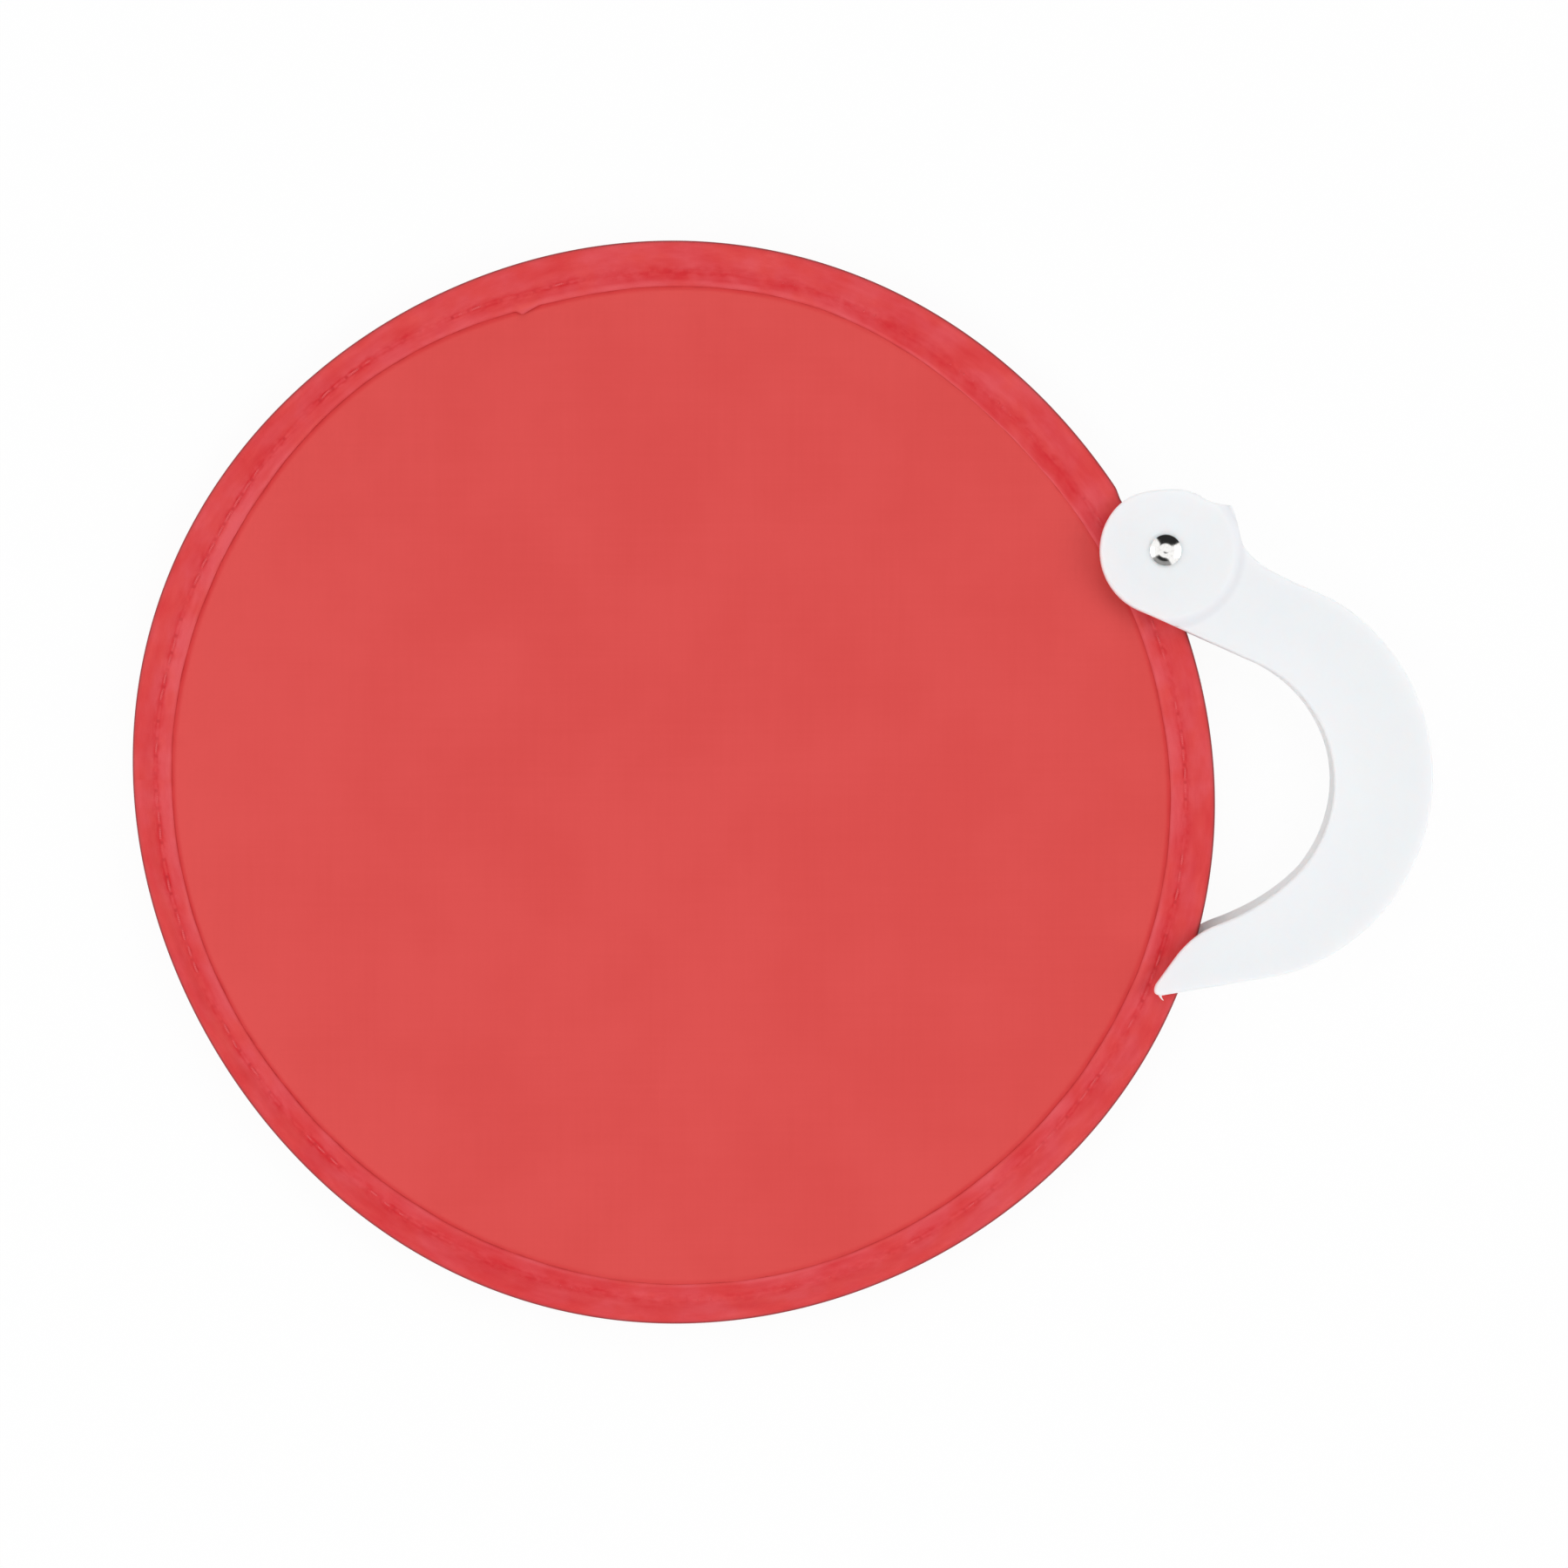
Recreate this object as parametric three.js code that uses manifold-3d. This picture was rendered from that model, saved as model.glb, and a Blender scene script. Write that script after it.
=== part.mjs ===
// Pop-up hand fan: a nylon disc kept open by a sprung steel hoop in its hem, on a slotted
// crescent handle that turns about a rivet at the rim. Millimetres, +Z up, lying flat, face up.
// The origin is the middle of the footprint, at the level of the face that the fan rests on.
import * as THREE from 'three';
import { mergeVertices } from 'three/addons/utils/BufferGeometryUtils.js';
import Module from 'manifold-3d';

const { degToRad } = THREE.MathUtils;

// Clearance between pieces that touch
const gap = 0.3;

// Rim: a 250 mm hoop that springs a little out of round, with a two-lobed and a four-lobed part
const rim = {
  radius: 125,
  oval: 1.4,
  ovalAt: degToRad(-47),
  square: 0.7,
  squareAt: degToRad(-15.5),
  steps: 90,
};

// Cloth disc, with its edge tucked into the hem
const panel = { thickness: 0.25, inset: 2.8 };

// Hem: one tape folded round the rim, sewn down along the valley and turned under at its edge.
// Upper halves of the section as [inset from the rim, height above the cloth].
const hemEdge = [[9.4, 0.55], [8.9, 1.1], [7.4, 1.02]];
const hemValley = [[6, 0.78]];
const hemRoll = [[3.2, 1.45], [1.5, 1.85], [0.3, 1.7], [0, 0.9]];
const hemInside = [[0.45, 1.35], [1.7, 1.42], [6, 0.425], [9.2, 0.425]];

// Seam thread, laid along the valley of the hem
const seam = { inset: 6, height: 1.25, radius: 0.16 };

// Hoop: flat spring steel on edge inside the hem, its ends pushed into the connector
const band = { inset: 0.75, thickness: 0.5, width: 2.4 };

// Connector: moulded block in the hem below the hub, with the eye that turns on the rivet
const connector = {
  halfLength: 12,
  inset: -0.6,
  depth: 2.9,
  halfThickness: 1.85,
  bridge: 2,
  eyeRadius: 4.2,
  eyeHalf: 2.7,
  steps: 8,
};

// Rivet at the rim, and the bore that turns on it
const pivot = { angle: degToRad(25.2), radius: 125.3 };
const rivet = {
  shank: 1.5,
  bore: 1.8,
  ring: 2.9,
  ringHalf: 1,
  ringHeight: 0.9,
  dishDepth: 0.5,
  tail: 4,
  tailHeight: 0.9,
  edge: 0.3,
  sides: 28,
};

// Handle: two leaves with a slot between them, joined by a wall along the outer edge.
// Plan sizes are measured from the rivet.
const leaf = { slotHalf: 3, armHalf: 4.6, hubHalf: 5.3, edge: 0.7, edgeSteps: 2, wall: 2.2, steps: 14 };
const hub = {
  radius: 15.1,
  bossRadius: 15.4,
  bossFoot: 17.6,
  clear: 15.6,
  recess: 9.6,
  recessDepth: 0.25,
  sides: 56,
};
const grip = { x: 16.2, y: -52.1, radiusX: 45.6, radiusY: 47, from: degToRad(-80), to: degToRad(60) };
const fingers = { x: 8.7, y: -53.5, radius: 30.2, to: degToRad(-40) };
const toe = {
  sweep: [24.3, -81.8],
  heel: [12.5, -86.7],
  corner: [6.1, -89.3],
  beak: [2.2, -94.3],
  point: [-2.1, -100],
  nose: [-3.3, -102.9],
  sole: [-0.4, -102.5],
};
const nub = {
  from: degToRad(52.9),
  shoulder: [29.5, -6.9],
  throat: [20, -4],
  foot: [17.5, 2.4],
  side: [15.8, 9.7],
  tip: [15.6, 10.4],
  top: [14.8, 10.45],
  crook: [11.6, 10.6],
};

// Tongue on the back shell's wall and the groove that takes it, as insets from the grip's edge
const tongue = { from: degToRad(-70), to: degToRad(56), inner: 1.45, outer: 0.75, height: 1 };

// Colours
const clothRed = 0xdc5350;
const tapeRed = 0xdb4b4e;
const threadRed = 0xd0454a;
const milkyWhite = 0xf0f3f6;
const springSteel = 0x8f959b;
const bright = 0xc9cbce;

const wasm = await Module();
wasm.setup();

// Closed solid for cutting and joining, without the slivers at the poles of a revolve
function solidOf(geometry) {
  const bare = geometry.clone();
  bare.deleteAttribute('normal');
  bare.deleteAttribute('uv');
  const merged = mergeVertices(bare, 1e-4);
  const corners = merged.index.array;
  const kept = [];
  for (let i = 0; i < corners.length; i += 3) {
    const [a, b, c] = corners.slice(i, i + 3);
    if (a !== b && b !== c && c !== a) {
      kept.push(a, b, c);
    }
  }
  const vertProperties = new Float32Array(merged.attributes.position.array);
  return new wasm.Manifold(new wasm.Mesh({ numProp: 3, vertProperties, triVerts: new Uint32Array(kept) }));
}

function geometryOf(solid) {
  const mesh = solid.getMesh();
  const geometry = new THREE.BufferGeometry();
  geometry.setAttribute('position', new THREE.BufferAttribute(new Float32Array(mesh.vertProperties), 3));
  geometry.setIndex(new THREE.BufferAttribute(new Uint32Array(mesh.triVerts), 1));
  geometry.computeVertexNormals();
  return geometry;
}

function prism(shape, low, high) {
  const options = { depth: high - low, bevelEnabled: false, curveSegments: 2 * leaf.steps };
  return new THREE.ExtrudeGeometry(shape, options).translate(0, 0, low);
}

// Revolve about +Z of a profile of [radius, height] points, from its foot to its top on the axis
function revolve(profile, sides) {
  const points = profile.map(([radius, height]) => new THREE.Vector2(radius, height));
  return new THREE.LatheGeometry(points, sides).rotateX(Math.PI / 2);
}

function cylinder(radius, low, high, sides) {
  return solidOf(revolve([[0, low], [radius, low], [radius, high], [0, high]], sides));
}

// Distance from the middle of the disc to the outside of the hem
function rimAt(angle) {
  const oval = rim.oval * Math.cos(2 * (angle - rim.ovalAt));
  const square = rim.square * Math.cos(4 * (angle - rim.squareAt));
  return rim.radius + oval + square;
}

function rimPoint(angle, inset) {
  const radius = rimAt(angle) - inset;
  return new THREE.Vector2(radius * Math.cos(angle), radius * Math.sin(angle));
}

// Closed outline that follows the rim at an inset
function rimShape(inset, centre = new THREE.Vector2()) {
  const points = [];
  for (let i = 0; i < rim.steps; i += 1) {
    const angle = pivot.angle + (i / rim.steps) * 2 * Math.PI;
    points.push(rimPoint(angle, inset).sub(centre));
  }
  return new THREE.Shape(points);
}

// Sweep along the rim of a section of [inset, height] points, anticlockwise. A full turn joins up.
function rimSweep(section, from, to, steps) {
  const closed = to - from > 2 * Math.PI - 1e-6;
  const rings = closed ? steps : steps + 1;
  const size = section.length;
  const positions = [];
  for (let i = 0; i < rings; i += 1) {
    const angle = from + ((to - from) * i) / steps;
    for (const [inset, height] of section) {
      const point = rimPoint(angle, inset);
      positions.push(point.x, point.y, height);
    }
  }
  const index = [];
  for (let i = 0; i < steps; i += 1) {
    const near = i * size;
    const far = ((i + 1) % rings) * size;
    for (let j = 0; j < size; j += 1) {
      const k = (j + 1) % size;
      index.push(near + j, near + k, far + k);
      index.push(near + j, far + k, far + j);
    }
  }
  if (!closed) {
    const outline = section.map(([inset, height]) => new THREE.Vector2(inset, height));
    const last = steps * size;
    for (const [a, b, c] of THREE.ShapeUtils.triangulateShape(outline, [])) {
      index.push(a, c, b);
      index.push(last + a, last + b, last + c);
    }
  }
  const geometry = new THREE.BufferGeometry();
  geometry.setAttribute('position', new THREE.Float32BufferAttribute(positions, 3));
  geometry.setIndex(index);
  geometry.computeVertexNormals();
  return geometry;
}

function rimRing(section) {
  return rimSweep(section, pivot.angle, pivot.angle + 2 * Math.PI, rim.steps);
}

// Rectangular section on the mid-plane
function stripSection(inset, depth, halfHeight) {
  const end = inset + depth;
  return [[end, halfHeight], [inset, halfHeight], [inset, -halfHeight], [end, -halfHeight]];
}

// Stretch of the rim between two distances either side of the rivet
function rimStretch(section, from, to, steps) {
  return rimSweep(section, pivot.angle + from / rim.radius, pivot.angle + to / rim.radius, steps);
}

function fanPanel() {
  return prism(rimShape(panel.inset), -panel.thickness / 2, panel.thickness / 2);
}

function rimBinding() {
  const mirrored = ([inset, height]) => [inset, -height];
  const outside = [...hemEdge, ...hemValley, ...hemRoll];
  const section = [
    ...outside,
    ...outside.map(mirrored).reverse(),
    ...hemInside.map(mirrored).reverse(),
    ...hemInside,
  ];
  const reach = connector.halfLength + gap;
  const mouth = stripSection(connector.inset, connector.depth + gap, 2 * connector.halfThickness);
  const notch = rimStretch(mouth, -reach, reach, connector.steps);
  return geometryOf(solidOf(rimRing(section)).subtract(solidOf(notch)));
}

function seamThread(side) {
  const section = [];
  for (let i = 0; i < 4; i += 1) {
    const turn = (i * Math.PI) / 2;
    const inset = seam.inset + seam.radius * Math.cos(turn);
    section.push([inset, side * seam.height + seam.radius * Math.sin(turn)]);
  }
  return rimRing(section);
}

function hoopBand() {
  const start = (connector.bridge + 2 * gap) / rim.radius;
  const section = stripSection(band.inset, band.thickness, band.width / 2);
  return rimSweep(section, pivot.angle + start, pivot.angle + 2 * Math.PI - start, rim.steps);
}

// Block that follows the rim, with the eye at the rivet and a pocket for each end of the hoop
function hoopConnector(rivetAt) {
  const { halfLength, bridge, eyeRadius, eyeHalf, steps } = connector;
  const section = stripSection(connector.inset, connector.depth, connector.halfThickness);
  const pocket = stripSection(band.inset - gap, band.thickness + 2 * gap, band.width / 2 + gap);
  const past = halfLength + 1;
  const at = [rivetAt.x, rivetAt.y, 0];
  const eye = cylinder(eyeRadius, -eyeHalf, eyeHalf, rivet.sides).translate(at);
  const bore = cylinder(rivet.bore, -2 * eyeHalf, 2 * eyeHalf, rivet.sides).translate(at);
  const block = solidOf(rimStretch(section, -halfLength, halfLength, steps)).add(eye).subtract(bore);
  const pocketLeft = solidOf(rimStretch(pocket, bridge, past, steps));
  const pocketRight = solidOf(rimStretch(pocket, -past, -bridge, steps));
  return geometryOf(block.subtract(pocketLeft).subtract(pocketRight));
}

// Plan of a handle leaf, anticlockwise from the nub: round the hub, along the finger opening,
// round the beak of the toe and back along the outside of the grip
function leafShape() {
  const apart = Math.hypot(fingers.x, fingers.y);
  const lean = Math.acos((hub.radius + fingers.radius) / apart);
  const leave = Math.atan2(fingers.y, fingers.x) - lean;
  const hubStart = [hub.radius * Math.cos(nub.from), hub.radius * Math.sin(nub.from)];
  const shape = new THREE.Shape();
  shape.absarc(0, 0, hub.radius, nub.from, leave + 2 * Math.PI, false);
  shape.absarc(fingers.x, fingers.y, fingers.radius, leave + Math.PI, fingers.to, true);
  shape.quadraticCurveTo(...toe.sweep, ...toe.heel);
  shape.quadraticCurveTo(...toe.corner, ...toe.beak);
  shape.lineTo(...toe.point);
  shape.quadraticCurveTo(...toe.nose, ...toe.sole);
  shape.absellipse(grip.x, grip.y, grip.radiusX, grip.radiusY, grip.from, grip.to, false, 0);
  shape.bezierCurveTo(...nub.shoulder, ...nub.throat, ...nub.foot);
  shape.lineTo(...nub.side);
  shape.quadraticCurveTo(...nub.tip, ...nub.top);
  shape.quadraticCurveTo(...nub.crook, ...hubStart);
  return shape;
}

// Block of the leaf's plan with rounded edges, as thick as both leaves and the slot together
function roundedBlock(half) {
  const geometry = new THREE.ExtrudeGeometry(leafShape(), {
    depth: 2 * (half - leaf.edge),
    bevelThickness: leaf.edge,
    bevelSize: leaf.edge,
    bevelOffset: -leaf.edge,
    bevelSegments: leaf.edgeSteps,
    curveSegments: leaf.steps,
  });
  return solidOf(geometry.translate(0, 0, leaf.edge - half));
}

// Thicker hub that runs out to the arm in a soft step
function hubBoss() {
  const profile = [
    [0, -leaf.hubHalf],
    [hub.bossRadius, -leaf.hubHalf],
    [hub.bossFoot, -leaf.armHalf],
    [hub.bossFoot, leaf.armHalf],
    [hub.bossRadius, leaf.hubHalf],
    [0, leaf.hubHalf],
  ];
  return solidOf(revolve(profile, hub.sides));
}

// Slot between the leaves: open at the hub, along the finger opening and at the toe, where its
// wall stops short of the rim
function handleSlot(rivetAt) {
  const inside = new THREE.Shape();
  const { wall, slotHalf } = leaf;
  inside.absellipse(grip.x, grip.y, grip.radiusX - wall, grip.radiusY - wall, 0, 2 * Math.PI, false, 0);
  const atGrip = solidOf(prism(inside, -slotHalf, slotHalf));
  const atHub = cylinder(hub.clear, -slotHalf, slotHalf, hub.sides);
  const atRim = solidOf(prism(rimShape(-2 * gap, rivetAt), -slotHalf, slotHalf));
  return atGrip.add(atHub).add(atRim);
}

// Curved strip of the grip's wall between two insets from its outer edge
function wallStrip(outer, inner, low, high) {
  const { x, y, radiusX, radiusY } = grip;
  const shape = new THREE.Shape();
  shape.absellipse(x, y, radiusX - outer, radiusY - outer, tongue.from, tongue.to, false, 0);
  shape.absellipse(x, y, radiusX - inner, radiusY - inner, tongue.to, tongue.from, true, 0);
  return solidOf(prism(shape, low, high));
}

// Everything above or below the parting plane
function halfSpace(side) {
  const size = 400;
  const box = new THREE.BoxGeometry(size, size, size);
  return solidOf(box.translate(0, 0, side * (size / 2 + gap / 2)));
}

function handleBody(rivetAt) {
  const boss = roundedBlock(leaf.hubHalf).intersect(hubBoss());
  const bore = cylinder(rivet.bore, -2 * leaf.hubHalf, 2 * leaf.hubHalf, rivet.sides);
  return roundedBlock(leaf.armHalf).add(boss).subtract(handleSlot(rivetAt)).subtract(bore);
}

// Front shell: a shallow round recess about the rivet, and the groove in its wall
function handleFront(body) {
  const { recess, recessDepth } = hub;
  const dish = cylinder(recess, leaf.hubHalf - recessDepth, 2 * leaf.hubHalf, hub.sides);
  const groove = wallStrip(tongue.outer - gap, tongue.inner + gap, 0, tongue.height + gap);
  return geometryOf(body.intersect(halfSpace(1)).subtract(dish).subtract(groove));
}

// Back shell: a counterbore that sinks the rivet's tail, and the tongue on its wall
function handleBack(body) {
  const floor = leaf.hubHalf - rivet.tailHeight - 2 * gap;
  const counterbore = cylinder(rivet.tail + 2 * gap, -2 * leaf.hubHalf, -floor, rivet.sides);
  const rib = wallStrip(tongue.outer, tongue.inner, -2 * gap, tongue.height);
  return geometryOf(body.intersect(halfSpace(-1)).subtract(counterbore).add(rib));
}

// Tubular rivet: a rolled ring round a dished middle in front, a flat tail sunk into the back
function pivotRivet() {
  const { shank, ring, ringHalf, ringHeight, tail, edge } = rivet;
  const seat = leaf.hubHalf - hub.recessDepth + gap;
  const tailFoot = gap - leaf.hubHalf;
  const tailTop = tailFoot + rivet.tailHeight;
  const dish = seat + ringHeight - rivet.dishDepth;
  const profile = [[0, tailFoot], [tail - edge, tailFoot], [tail, tailFoot + edge], [tail, tailTop]];
  profile.push([shank, tailTop], [shank, seat]);
  const rollSteps = 6;
  for (let i = 0; i <= rollSteps; i += 1) {
    const turn = (i / rollSteps) * Math.PI;
    const height = seat + ringHeight * Math.sin(turn);
    const inward = turn > Math.PI / 2;
    profile.push([ring + ringHalf * Math.cos(turn), inward ? Math.max(height, dish) : height]);
  }
  profile.push([0, dish]);
  return revolve(profile, rivet.sides);
}

function piece(name, geometry, color, roughness, metalness) {
  const mesh = new THREE.Mesh(geometry, new THREE.MeshStandardMaterial({ color, roughness, metalness }));
  mesh.name = name;
  return mesh;
}

const rivetAt = new THREE.Vector2(Math.cos(pivot.angle), Math.sin(pivot.angle)).multiplyScalar(pivot.radius);

const disc = new THREE.Group();
disc.add(piece('fan_panel', fanPanel(), clothRed, 0.8, 0));
disc.add(piece('rim_binding', rimBinding(), tapeRed, 0.8, 0));
disc.add(piece('seam_thread_front', seamThread(1), threadRed, 0.7, 0));
disc.add(piece('seam_thread_back', seamThread(-1), threadRed, 0.7, 0));
disc.add(piece('hoop_band', hoopBand(), springSteel, 0.35, 1));
disc.add(piece('hoop_connector', hoopConnector(rivetAt), milkyWhite, 0.5, 0));

const body = handleBody(rivetAt);
const handle = new THREE.Group();
handle.add(piece('handle_front_shell', handleFront(body), milkyWhite, 0.45, 0));
handle.add(piece('handle_back_shell', handleBack(body), milkyWhite, 0.45, 0));
handle.add(piece('pivot_rivet', pivotRivet(), bright, 0.2, 1));
handle.position.set(rivetAt.x, rivetAt.y, 0);

const fan = new THREE.Group();
fan.add(disc, handle);
const box = new THREE.Box3().setFromObject(fan);
const middle = box.getCenter(new THREE.Vector3());
fan.position.set(-middle.x, -middle.y, -box.min.z);

export default fan;
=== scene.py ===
import math
import random

import bmesh
import bpy
import numpy as np
from mathutils import Matrix, Vector


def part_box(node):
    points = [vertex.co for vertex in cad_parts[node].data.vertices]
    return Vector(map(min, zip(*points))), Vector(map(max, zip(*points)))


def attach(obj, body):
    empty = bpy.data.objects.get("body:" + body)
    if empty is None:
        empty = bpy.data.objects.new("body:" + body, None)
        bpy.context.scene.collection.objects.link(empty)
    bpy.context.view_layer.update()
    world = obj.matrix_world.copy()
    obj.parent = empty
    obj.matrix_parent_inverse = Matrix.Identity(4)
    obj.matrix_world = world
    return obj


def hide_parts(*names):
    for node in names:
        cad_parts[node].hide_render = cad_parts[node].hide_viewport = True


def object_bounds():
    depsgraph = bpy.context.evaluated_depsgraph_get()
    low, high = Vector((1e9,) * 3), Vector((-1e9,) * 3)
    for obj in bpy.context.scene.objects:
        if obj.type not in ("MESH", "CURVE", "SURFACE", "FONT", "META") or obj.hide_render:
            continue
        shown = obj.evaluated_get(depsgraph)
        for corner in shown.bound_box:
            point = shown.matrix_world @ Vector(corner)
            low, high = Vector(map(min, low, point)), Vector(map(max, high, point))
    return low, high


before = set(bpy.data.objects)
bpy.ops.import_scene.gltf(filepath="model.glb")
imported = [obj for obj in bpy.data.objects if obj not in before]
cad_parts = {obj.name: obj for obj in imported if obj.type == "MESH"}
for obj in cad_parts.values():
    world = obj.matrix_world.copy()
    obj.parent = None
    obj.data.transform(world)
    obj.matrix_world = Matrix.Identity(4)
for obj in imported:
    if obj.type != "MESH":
        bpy.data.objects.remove(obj)        # bodies, nodes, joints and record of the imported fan
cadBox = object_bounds()     # the size that the looks stay inside
print("frame loaded:", ", ".join(sorted(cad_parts)))

mm = 0.001
meeting = 0.002 * mm                     # corners nearer than this are one
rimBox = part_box("rim_binding")
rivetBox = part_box("pivot_rivet")
discAt = (rimBox[0] + rimBox[1]) / 2     # middle of the cloth disc
rivetAt = (rivetBox[0] + rivetBox[1]) / 2
rivetAt.z = discAt.z                     # on the rivet's axis, level with the cloth
rivetAngle = math.atan2(rivetAt.y - discAt.y, rivetAt.x - discAt.x)


# Picking and editing

def clearPick():
    if bpy.context.mode != "OBJECT":
        bpy.ops.object.mode_set(mode="OBJECT")
    bpy.ops.object.select_all(action="DESELECT")


def pick(piece):
    clearPick()
    piece.select_set(True)
    bpy.context.view_layer.objects.active = piece


def openMesh(piece, kind="FACE", start="DESELECT"):
    pick(piece)
    bpy.ops.object.mode_set(mode="EDIT")
    bpy.ops.mesh.select_mode(type=kind)
    bpy.ops.mesh.select_all(action=start)


def closeMesh(piece):
    bpy.ops.mesh.select_all(action="SELECT")
    bpy.ops.mesh.remove_doubles(threshold=meeting)
    bpy.ops.mesh.normals_make_consistent(inside=False)
    bpy.ops.object.mode_set(mode="OBJECT")
    return piece


# Selects, in edit mode, the edges whose two ends pass a test
def selectEdges(piece, wanted):
    mesh = bmesh.from_edit_mesh(piece.data)
    for edge in mesh.edges:
        edge.select_set(all(wanted(corner.co) for corner in edge.verts))
    bmesh.update_edit_mesh(piece.data)


def applyModifier(piece, kind, **settings):
    pick(piece)
    modifier = piece.modifiers.new(kind.lower(), kind)
    for name, value in settings.items():
        setattr(modifier, name, value)
    bpy.ops.object.modifier_apply(modifier=modifier.name)
    return piece


def carve(piece, tool, operation):
    applyModifier(piece, "BOOLEAN", operation=operation, object=tool, solver="EXACT")
    bpy.data.objects.remove(tool)
    return piece


# Joins corners that meet and clears the slivers that a cut leaves
def clearCrumbs(piece):
    openMesh(piece, start="SELECT")
    bpy.ops.mesh.remove_doubles(threshold=meeting)
    bpy.ops.mesh.select_all(action="SELECT")
    bpy.ops.mesh.delete_loose(use_verts=True, use_edges=True, use_faces=True)
    bpy.ops.object.mode_set(mode="OBJECT")


# Closed loop of corners drawn out to a list of points, filled or open, at a place
def drawnLoop(name, points, at, fill="NOTHING"):
    clearPick()
    bpy.ops.mesh.primitive_circle_add(vertices=len(points), radius=mm, fill_type=fill, location=at)
    piece = bpy.context.object
    piece.name = name
    for corner, point in zip(piece.data.vertices, points):
        corner.co = point
    return piece


# Flat outline of x, y points pulled up from one height to another
def pulledUp(name, outline, low, high, at):
    piece = drawnLoop(name, [(x, y, low) for x, y in outline], at, "NGON")
    openMesh(piece, start="SELECT")
    bpy.ops.mesh.extrude_region_move(TRANSFORM_OT_translate={"value": (0, 0, high - low)})
    return closeMesh(piece)


# Closed profile of radius, height points spun about an upright axis
def turned(name, profile, steps, at):
    piece = drawnLoop(name, [(radius, 0, height) for radius, height in profile], at)
    openMesh(piece, "EDGE")
    selectEdges(piece, lambda corner: corner.x < meeting)
    bpy.ops.mesh.delete(type="EDGE")  # an edge that lies on the axis
    bpy.ops.mesh.select_all(action="SELECT")
    bpy.ops.mesh.spin(steps=steps, angle=2 * math.pi, center=at, axis=(0, 0, 1))
    return closeMesh(piece)


# Keeps a number for each point, for the finish to read
def addShade(piece, name, values):
    shade = piece.data.attributes.new(name, "FLOAT", "POINT")
    shade.data.foreach_set("value", values.astype(np.float32))


def finishPiece(piece, material, body, slot, *nodes, smoothUnder=35):
    pick(piece)
    bpy.ops.object.transform_apply(location=True, rotation=True, scale=True)
    bpy.ops.object.shade_smooth_by_angle(angle=math.radians(smoothUnder))
    piece.data.materials.clear()
    piece.data.materials.append(material)
    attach(piece, body)
    if nodes:
        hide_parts(*nodes)
    print("made", piece.name, "with", len(piece.data.polygons), "faces")
    return piece


def placesOf(piece):
    flat = np.empty(3 * len(piece.data.vertices))
    piece.data.vertices.foreach_get("co", flat)
    return flat.reshape(-1, 3)


def movePoints(piece, places):
    piece.data.vertices.foreach_set("co", places.ravel())
    piece.data.update()


# Finishes

class Wire:
    # a socket of a node tree, so that sums read as plain expressions
    def __init__(self, tree, socket=None):
        self.tree = tree
        self.socket = socket

    # adds a node: its settings first, then the values or links of its sockets
    def node(self, kind, settings=None, sockets=None, out=0):
        made = self.tree.nodes.new(kind)
        for name, value in (settings or {}).items():
            setattr(made, name, value)
        for name, value in (sockets or {}).items():
            if isinstance(value, Wire):
                self.tree.links.new(value.socket, made.inputs[name])
            else:
                made.inputs[name].default_value = value
        return Wire(self.tree, made.outputs[out])

    def maths(self, operation, first, second=0.0):
        return self.node("ShaderNodeMath", {"operation": operation}, {0: first, 1: second})

    def __add__(self, other):
        return self.maths("ADD", self, other)

    def __sub__(self, other):
        return self.maths("SUBTRACT", self, other)

    def __rsub__(self, other):
        return self.maths("SUBTRACT", other, self)

    def __mul__(self, other):
        return self.maths("MULTIPLY", self, other)

    def __pow__(self, other):
        return self.maths("POWER", self, other)

    __radd__ = __add__
    __rmul__ = __mul__

    def sine(self):
        return self.maths("SINE", self)

    def size(self):
        return self.maths("ABSOLUTE", self)

    def between(self, low, high):
        sockets = {"Value": self, "From Min": low, "From Max": high}
        return self.node("ShaderNodeMapRange", {"interpolation_type": "SMOOTHSTEP"}, sockets)

    def blend(self, first, second):
        return self.node("ShaderNodeMix", {"data_type": "RGBA"}, {0: self, 6: first, 7: second}, out=2)

    def part(self, index):
        return self.node("ShaderNodeSeparateXYZ", None, {0: self}, out=index)

    def noise(self, scale, detail, stretch=(1, 1, 1)):
        placed = self.node("ShaderNodeMapping", None, {"Vector": self, "Scale": stretch})
        sockets = {"Vector": placed, "Scale": scale, "Detail": detail}
        return self.node("ShaderNodeTexNoise", None, sockets)

    # place on the piece itself
    def place(self):
        return self.node("ShaderNodeTexCoord", out="Object")

    # number that addShade kept on the piece
    def kept(self, name):
        return self.node("ShaderNodeAttribute", {"attribute_name": name}, out="Fac")

    # 1 for one kind of ray, otherwise 0
    def ray(self, kind):
        return self.node("ShaderNodeLightPath", out=f"Is {kind} Ray")


def newFinish(name, **constants):
    material = bpy.data.materials.new(name)
    material.use_nodes = True
    tree = material.node_tree
    shader = tree.nodes["Principled BSDF"]
    for socket, value in constants.items():
        shader.inputs[socket.replace("_", " ")].default_value = value
    return material, Wire(tree), shader


def join(shader, socket, wire):
    wire.tree.links.new(wire.socket, shader.inputs[socket])


def bump(wire, height, distance, strength):
    sockets = {"Height": height, "Distance": distance, "Strength": strength}
    return wire.node("ShaderNodeBump", None, sockets)


# Plain weave on two directions in metres: yarns that ride over and under each other
def weave(across, along, pitch, soft=0.35):
    turn = math.pi / pitch
    warp = (across * turn).sine()
    weft = (along * turn).sine()
    over = (warp * weft).between(-soft, soft)
    return over * warp.size() + (1 - over) * weft.size()


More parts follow.
